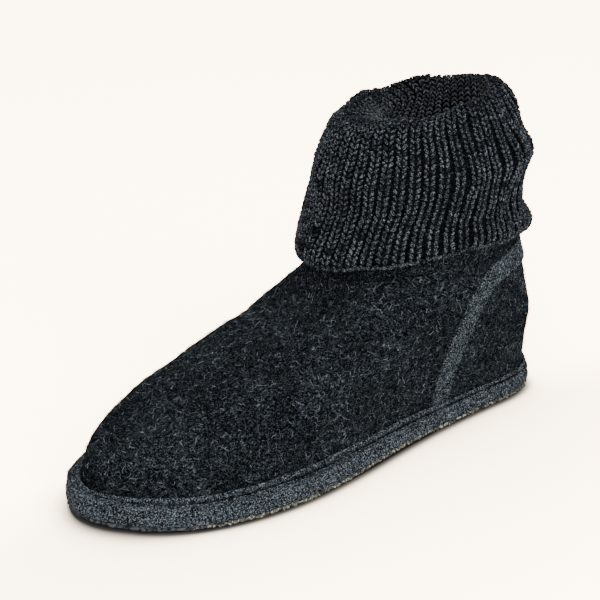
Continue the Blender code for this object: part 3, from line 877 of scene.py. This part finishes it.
# How much thinner the tape is pressed at its edges and how much thicker it is just inside them, each with
# the place from the tape's middle and the reach as shares of its width.
EDGE_THINNER, EDGE_FROM, EDGE_SPAN = 0.75, 0.40, 0.10
RIDGE_THICKER, RIDGE_MIDDLE, RIDGE_REACH = 0.28, 0.37, 0.06
TAPE_ROUGHNESS = ((0.05, 4, 51),)
TAPE_FELT = dict(FELT, middle=(0.025, 0.034, 0.042, 1), pale=(0.28, 0.325, 0.36, 1))


def wall_ways(share, level):
    """How the upper's face moves over two small steps round the foot and two up the wall."""
    round_way = upper_face(share + WALL_STEP, level) - upper_face(share - WALL_STEP, level)
    up_way = upper_face(share, level + WALL_STEP) - upper_face(share, level - WALL_STEP)
    return round_way, up_way


def wall_out(share, level):
    return unit(np.cross(*wall_ways(share, level)))


def tape_lines(count, across):
    """Places on the upper (share, level) of lines that run along the tape, spread over its width."""
    turn = np.linspace(-math.pi / 2, math.pi / 2, 801)
    share = np.sign(turn) * np.abs(np.sin(turn)) ** TAPE_SIDE_POWER * TAPE_REACH
    level = TAPE_LOW + (TAPE_TOP - TAPE_LOW) * np.cos(turn) ** TAPE_ARCH_POWER
    steps = np.linalg.norm(np.diff(upper_face(share, level), axis=0), axis=1)
    run = np.concatenate([[0], np.cumsum(steps)])
    even = np.linspace(0, run[-1], count)
    share, level = np.interp(even, run, share), np.interp(even, run, level)
    by_share, by_level = (way / (2 * WALL_STEP) for way in wall_ways(share, level))
    along = np.gradient(upper_face(share, level), axis=0)
    side = unit(np.cross(wall_out(share, level), along))
    lines = []
    for offset in across:
        moved = np.array(
            [
                np.linalg.lstsq(np.column_stack([u, v]), offset * w, rcond=None)[0]
                for u, v, w in zip(by_share, by_level, side)
            ]
        )
        lines.append((share + moved[:, 0], np.clip(level + moved[:, 1], 0.045, 0.97)))
    return lines


tape_across = np.linspace(-0.5, 0.5, TAPE_LINES)
tape_places = tape_lines(TAPE_POINTS, tape_across * TAPE_WIDTH)
edge_press = 1 - EDGE_THINNER * np.clip((np.abs(tape_across) - EDGE_FROM) / EDGE_SPAN, 0, 1) ** 2
edge_press += RIDGE_THICKER * np.exp(-(((np.abs(tape_across) - RIDGE_MIDDLE) / RIDGE_REACH) ** 2))
tape_rows, tape_foot = [], []
for (line_share, line_level), press in zip(tape_places, edge_press):
    ground = upper_face(line_share, line_level)
    out = wall_out(line_share, line_level)
    proud = fold_height(line_share, line_level) + TAPE_GAP + TAPE_THICKNESS * press
    tape_rows.append(ground + out * proud[:, None])
    tape_foot.append(ground - out * TAPE_BACKING)
tape_section = np.stack(tape_rows + tape_foot[::-1], axis=1)
tape_section += lumps(tape_section, TAPE_ROUGHNESS)[..., None]
tape = skin("heel_tape_felt", tape_section)
tape_shell = bmesh.new()
tape_shell.from_mesh(tape.data)
bmesh.ops.holes_fill(tape_shell, edges=tape_shell.edges, sides=0)
bmesh.ops.recalc_face_normals(tape_shell, faces=tape_shell.faces)
tape_shell.to_mesh(tape.data)
tape_shell.free()
fit_piece(tape, "tape_felt", "heel_tape", material=wool("tape_felt", **TAPE_FELT))


# Felt fuzz
# Short stiff hairs that brushing has raised on the felt of the sole's side, the rand and the tape.
# Most are dark and a few are pale, like the fibres of the felt.
FELT_HAIR_DARK = (0.0030, 0.0045, 0.0070, 1)
FELT_HAIR_PALE = (0.34, 0.38, 0.42, 1)
SOLE_SIDE = slice(3, 11)
RAND_FACE = slice(14, 56)
FELT_FUZZ = dict(Density=200000.0, Length=1.5 * MM, Radius=0.085 * MM, Wave=1.2 * MM)
felt_tree = fibre_tree("felt_fuzz_tree", hair_finish("felt_hair", FELT_HAIR_DARK, FELT_HAIR_PALE))
brushed_faces = (
    ("sole_fuzz", "sole_felt", midsole_rows[SOLE_SIDE]),
    ("rand_fuzz", "rand_felt", welt_rows[::-1][RAND_FACE]),
    ("tape_fuzz", "tape_felt", np.stack(tape_rows)[:, ::-1]),
)
for name, slot, rows in brushed_faces:
    base = bare(rows, closed_rings=slot != "tape_felt")
    fit_piece(grown(name, base, felt_tree, **FELT_FUZZ), slot)


# Cuff
# A tube of rib knit in thick heathered yarn, sewn to the collar, turned up and folded down outside.
# Each rib is a column of plaited stitches with a deep furrow between it and the next.
RIB_COUNT = 46
RIB_POINTS = 8
RIB_DEPTH = 1.5 * MM
CUFF_ROWS = 84
CUFF_WALL = 3.0 * MM
# Where the fold lies on the way from the hem to the collar, how near it the ribs are stretched flat,
# and by what share of their depth.
FOLD_SHARE = 0.615
FOLD_REACH = 0.07
FOLD_STRETCH = 0.6
# How far the slack knit bags out or sinks in.
SLACK_LUMPS = ((0.9, 34, 61), (0.4, 15, 62))
CUFF_COLUMNS = ("height", "back_rise", "side_rise", "outer_rise", "centre", "half_length", "half_width")
CUFF_RINGS = {
    "hem_edge": (92, -2.5, 8, 0, -66, 67, 45.0),
    "hem": (97, -2.5, 8, 0, -67, 69, 46.0),
    "pinch": (111, -1, 4, 0, -66, 62, 45.5),
    "swell": (123, 1, 3, 0, -69, 60, 45.5),
    "bulge": (136, 1, 2, 0, -71, 61, 46.5),
    "shoulder": (149, 2, 1, 1, -70, 55, 43.5),
    "fold_outer": (159.5, 3, 1, 2, -68.5, 50, 39.5),
    "fold": (165, 4, 0, 3, -69, 45, 36.0),
    "fold_top": (166.5, 5, -1, 3.5, -72, 37.5, 30.5),
    "fold_inner": (163, 6.5, -2, 3.5, -76.5, 29.5, 25.5),
    "throat": (154, 6, -1, 2, -76.5, 30, 26.0),
    "lining": (138, 3, 0, 1, -71, 40, 31.5),
    "lining_low": (121, 0.5, 0, 0, -68, 48, 35.0),
    "collar": (106.3, 2, 0, 0, -68, 50.8, 35.8),
}
YARN_DARK = (0.0009, 0.0014, 0.0025, 1)
YARN_MIDDLE = (0.0085, 0.0105, 0.0140, 1)
YARN_PALE = (0.150, 0.166, 0.188, 1)
# The knit's ground, seen in the furrows between the stitches, is darker than the stitches' yarn: painted
# shade.
KNIT_GROUND = dict(
    dark=YARN_DARK, middle=(0.004, 0.005, 0.006, 1), pale=YARN_PALE,
    cloud=60, clump=420, hair=260, amount=0.1, specks=0.06, depth=0.6 * MM,
)


def eased_rows(table, count):
    """Rows evenly spread along a smooth line through the rows of a table."""
    rows = len(table)
    at = np.linspace(0, rows - 1, count)
    i = np.clip(np.floor(at).astype(int), 0, rows - 2)
    t = (at - i)[:, None]
    return smooth_between(*(table[np.clip(i + k, 0, rows - 1)] for k in (-1, 0, 1, 2)), t)


def cuff_face(turn, count):
    """Points on the knit's right side, from the hem over the fold and down to the collar."""
    columns = dict(zip(CUFF_COLUMNS, eased_rows(np.array(list(CUFF_RINGS.values()), float), count).T))
    column = {name: values[:, None] for name, values in columns.items()}
    x = column["centre"] + column["half_length"] * np.cos(turn)
    y = column["half_width"] * np.sin(turn)
    z = column["height"] - column["back_rise"] * np.cos(turn) + column["side_rise"] * np.sin(turn) ** 2
    z = z + column["outer_rise"] * np.sin(turn)
    return np.stack([x, y, z], -1) * MM


rib_turn = 2 * math.pi * np.arange(RIB_COUNT * RIB_POINTS) / (RIB_COUNT * RIB_POINTS)
knit_rows = cuff_face(rib_turn[None, :], CUFF_ROWS)
knit_normals = row_normals(knit_rows)
slack = lumps(knit_rows, SLACK_LUMPS)
furrow = np.abs(np.sin(rib_turn * RIB_COUNT / 2)) ** 0.8
off_fold = (np.linspace(0, 1, CUFF_ROWS)[:, None] - FOLD_SHARE) / FOLD_REACH
rib_depth = RIB_DEPTH * (1 - FOLD_STRETCH * np.exp(-(off_fold**2)))
right_side = knit_rows + knit_normals * (slack - rib_depth * (1 - furrow[None, :]))[..., None]
wrong_side = (knit_rows - knit_normals * CUFF_WALL)[::-3]
cuff = skin("cuff_knit", np.concatenate([right_side, wrong_side]), closed_rows=True)
fit_piece(cuff, "rib_knit", "cuff", material=wool("knit_ground", **KNIT_GROUND))


# Knit stitches
# The plaited loops on each rib: two short slanting legs of yarn to a stitch, side by side, one row
# above the other, from the hem over the fold and down inside.
STITCH_PITCH = 2.6 * MM
# Each leg's place beside the middle of its rib, as a share of the rib's width, its slant in radians, half
# its length as a share of the pitch, and how far its middle stands off the ground.
LEG_ASIDE = 0.225
LEG_SLANT = 0.58
LEG_HALF_LENGTH = 0.66
LEG_RISE = 0.10 * MM
LEG_RADIUS = 0.92 * MM
LEG_SIDES = 6
WIDEST_RIB = 7.2 * MM
HEM_LEG_RADIUS = 1.2 * MM
HEM_LEGS_PER_RIB = 3
# Fine rows down the knit that legs are placed on, fewer for the hem, and the one the hem's legs lie on.
FINE_ROWS = 900
HEM_ROWS = 400
HEM_ROW = 4
# How near the fold the yarn is darkened by painted shade, how far down inside it is made lightest by painted
# light, and how much white that light has.
FOLD_SHADE_REACH = 11 * MM
DEEP_REACH = 22 * MM
INSIDE_PAINTED_LIGHT = 0.034
INSIDE_LIGHT_COLOUR = (1, 1.02, 1.06, 1)


def stitch_points():
    """One point for each leg, with its turn, its size and its tone."""
    rng = np.random.default_rng(71)
    dense = cuff_face(2 * math.pi * (np.arange(RIB_COUNT)[None, :] + 0.5) / RIB_COUNT, FINE_ROWS)
    run = np.concatenate(
        [np.zeros((1, RIB_COUNT)), np.cumsum(np.linalg.norm(np.diff(dense, axis=0), axis=2), axis=0)]
    )
    stitch_rows = int(run[-1].mean() / STITCH_PITCH)
    fold_row = int(len(dense) * FOLD_SHARE)
    places, turns, sizes, tones, deep = [], [], [], [], []

    def knit_at(at, rib, aside=0):
        column = dense[:, (rib + aside) % RIB_COUNT]
        return np.column_stack([np.interp(at, run[:, rib], column[:, k]) for k in range(3)])

    for rib in range(RIB_COUNT):
        at = (np.arange(stitch_rows) + 0.5) / stitch_rows * run[-1, rib]
        point = knit_at(at, rib)
        up_way = unit(knit_at(at + 0.3 * MM, rib) - knit_at(at - 0.3 * MM, rib))
        round_way = knit_at(at, rib, aside=1) - point
        width = np.linalg.norm(round_way, axis=1, keepdims=True)
        out = unit(np.cross(round_way, up_way))
        round_way = np.cross(up_way, out)
        point = point + out * lumps(point, SLACK_LUMPS)[:, None]
        length = run[-1, rib] / stitch_rows
        past_fold = at - run[fold_row, rib]
        tone = np.clip(rng.normal(0.45, 0.13, stitch_rows), 0, 1)
        # Painted shade: the stitches' tone is darker near the fold.
        tone = tone * (1 - 0.45 * np.exp(-((past_fold / FOLD_SHADE_REACH) ** 2)))
        for side in (-1, 1):
            slant = LEG_SLANT + rng.normal(0, 0.06, (stitch_rows, 1))
            heading = up_way * np.cos(slant) + round_way * side * np.sin(slant)
            across = np.cross(out, heading)
            jitter = rng.normal(0, 0.10 * MM, (stitch_rows, 3))
            places.append(point + round_way * side * width * LEG_ASIDE + out * LEG_RISE + jitter)
            turns.append(np.stack([across, out, np.cross(across, out)], axis=-1))
            thick = LEG_RADIUS * rng.uniform(0.88, 1.12, stitch_rows)
            thick = thick * (0.30 + 0.70 * width[:, 0] / WIDEST_RIB)
            half = np.full(stitch_rows, LEG_HALF_LENGTH * length)
            sizes.append(np.column_stack([thick * 1.05, thick * 0.9, half]))
            tones.append(tone)
            deep.append(np.clip(past_fold / DEEP_REACH, -0.1, 1))
    hem_legs = HEM_LEGS_PER_RIB * RIB_COUNT
    edge_turn = 2 * math.pi * np.arange(hem_legs) / hem_legs
    edge = cuff_face(edge_turn[None, :], HEM_ROWS)
    edge_out = row_normals(edge)[HEM_ROW]
    hem = edge[HEM_ROW]
    edge_way = np.roll(hem, -1, axis=0) - np.roll(hem, 1, axis=0)
    half = 0.31 * np.linalg.norm(edge_way, axis=1)
    edge_way = unit(edge_way)
    lean = 0.35 * np.where(np.arange(hem_legs) % 2, 1, -1)[:, None]
    heading = edge_way * np.cos(lean) + np.cross(edge_out, edge_way) * np.sin(lean)
    places.append(hem + edge_out * lumps(hem, SLACK_LUMPS)[:, None])
    turns.append(np.stack([np.cross(edge_out, heading), edge_out, heading], axis=-1))
    sizes.append(np.column_stack([np.full((hem_legs, 2), HEM_LEG_RADIUS), half]))
    tones.append(rng.normal(0.40, 0.12, hem_legs))
    deep.append(np.full(hem_legs, -0.1))
    return [np.concatenate(column) for column in (places, turns, sizes, tones, deep)]


def euler_angles(axes):
    """XYZ angles of rotation matrices whose columns are the legs' own axes."""
    pitch = -np.arcsin(np.clip(axes[:, 2, 0], -1, 1))
    roll = np.arctan2(axes[:, 2, 1], axes[:, 2, 2])
    yaw = np.arctan2(axes[:, 1, 0], axes[:, 0, 0])
    return np.column_stack([roll, pitch, yaw])


def stitch_tree(material):
    """Sets a small spindle of yarn on each point, turned and sized as the point says."""
    tree, given = open_tree("knit_stitches", "NodeSocketInt", Sides=LEG_SIDES)
    leg = node(tree, "GeometryNodeMeshUVSphere", Segments=given["Sides"], Rings=4, Radius=1.0)
    smooth = node(tree, "GeometryNodeSetShadeSmooth", Geometry=leg.outputs[0])
    vector = {"data_type": "FLOAT_VECTOR"}
    turn = node(tree, "GeometryNodeInputNamedAttribute", vector, Name="leg_turn")
    size = node(tree, "GeometryNodeInputNamedAttribute", vector, Name="leg_size")
    turned = node(tree, "FunctionNodeEulerToRotation", _0=turn.outputs[0])
    placed = node(
        tree, "GeometryNodeInstanceOnPoints", Points=given["Geometry"], Instance=smooth.outputs[0],
        Rotation=turned.outputs[0], Scale=size.outputs[0],
    )
    return close_tree(tree, placed.outputs[0], material)


def heather_yarn():
    """Spun yarn of mixed charcoal, grey and pale fibres; each stitch has its own share of them."""
    material, tree, shader, place = paint("heather_yarn", 0.95)
    mixed = arithmetic(tree, "ADD", attribute(tree, "tone")["Fac"], grain(tree, place, 600.0, 3.0))
    colour = blend(tree, spread(tree, mixed, 0.35, 1.0), YARN_DARK, YARN_MIDDLE)
    fleck = spread(tree, grain(tree, place, 1500.0, 3.0, 0.6), 0.51, 0.58)
    shown = arithmetic(tree, "MULTIPLY", fleck, spread(tree, mixed, 0.35, 1.35))
    colour = blend(tree, shown, colour, YARN_PALE)
    # Painted light: the yarn is lighter the further down inside the cuff it lies.
    inside = arithmetic(tree, "MULTIPLY", attribute(tree, "deep")["Fac"], INSIDE_PAINTED_LIGHT)
    colour = blend(tree, inside, colour, INSIDE_LIGHT_COLOUR)
    tree.links.new(colour, shader.inputs["Base Color"])
    raise_bumps(tree, shader, grain(tree, place, 900.0, 3.0), 0.35 * MM)
    return material


legs = dict(zip(("places", "turns", "sizes", "tones", "deep"), stitch_points()))
yarn_tree = stitch_tree(heather_yarn())
for name, chosen in (("cuff_outer_stitches", legs["deep"] <= 0), ("cuff_inner_stitches", legs["deep"] > 0)):
    points = bpy.data.meshes.new(name + "_points")
    points.from_pydata(legs["places"][chosen].tolist(), [], [])
    give(points, "leg_turn", "FLOAT_VECTOR", euler_angles(legs["turns"][chosen]))
    give(points, "leg_size", "FLOAT_VECTOR", legs["sizes"][chosen])
    give(points, "tone", "FLOAT", legs["tones"][chosen])
    give(points, "deep", "FLOAT", np.clip(legs["deep"][chosen], 0, 1))
    fit_piece(grown(name, points, yarn_tree, Sides=LEG_SIDES), "rib_knit")


# Yarn fuzz
# Fine loose hairs on the folded-down side of the knit, most of them dark and a few pale, that soften
# its outline.
YARN_HAIR_DARK = (0.004, 0.005, 0.007, 1)
YARN_HAIR_PALE = (0.20, 0.215, 0.235, 1)
YARN_FUZZ = dict(Density=95000.0, Length=2.6 * MM, Radius=0.06 * MM)
OUTER_KNIT = slice(3, 50)
fuzz_tree = fibre_tree("yarn_fuzz_tree", hair_finish("yarn_hair", YARN_HAIR_DARK, YARN_HAIR_PALE))
yarn_fuzz = grown("yarn_fuzz", bare(right_side[OUTER_KNIT]), fuzz_tree, **YARN_FUZZ)
fit_piece(yarn_fuzz, "rib_knit")
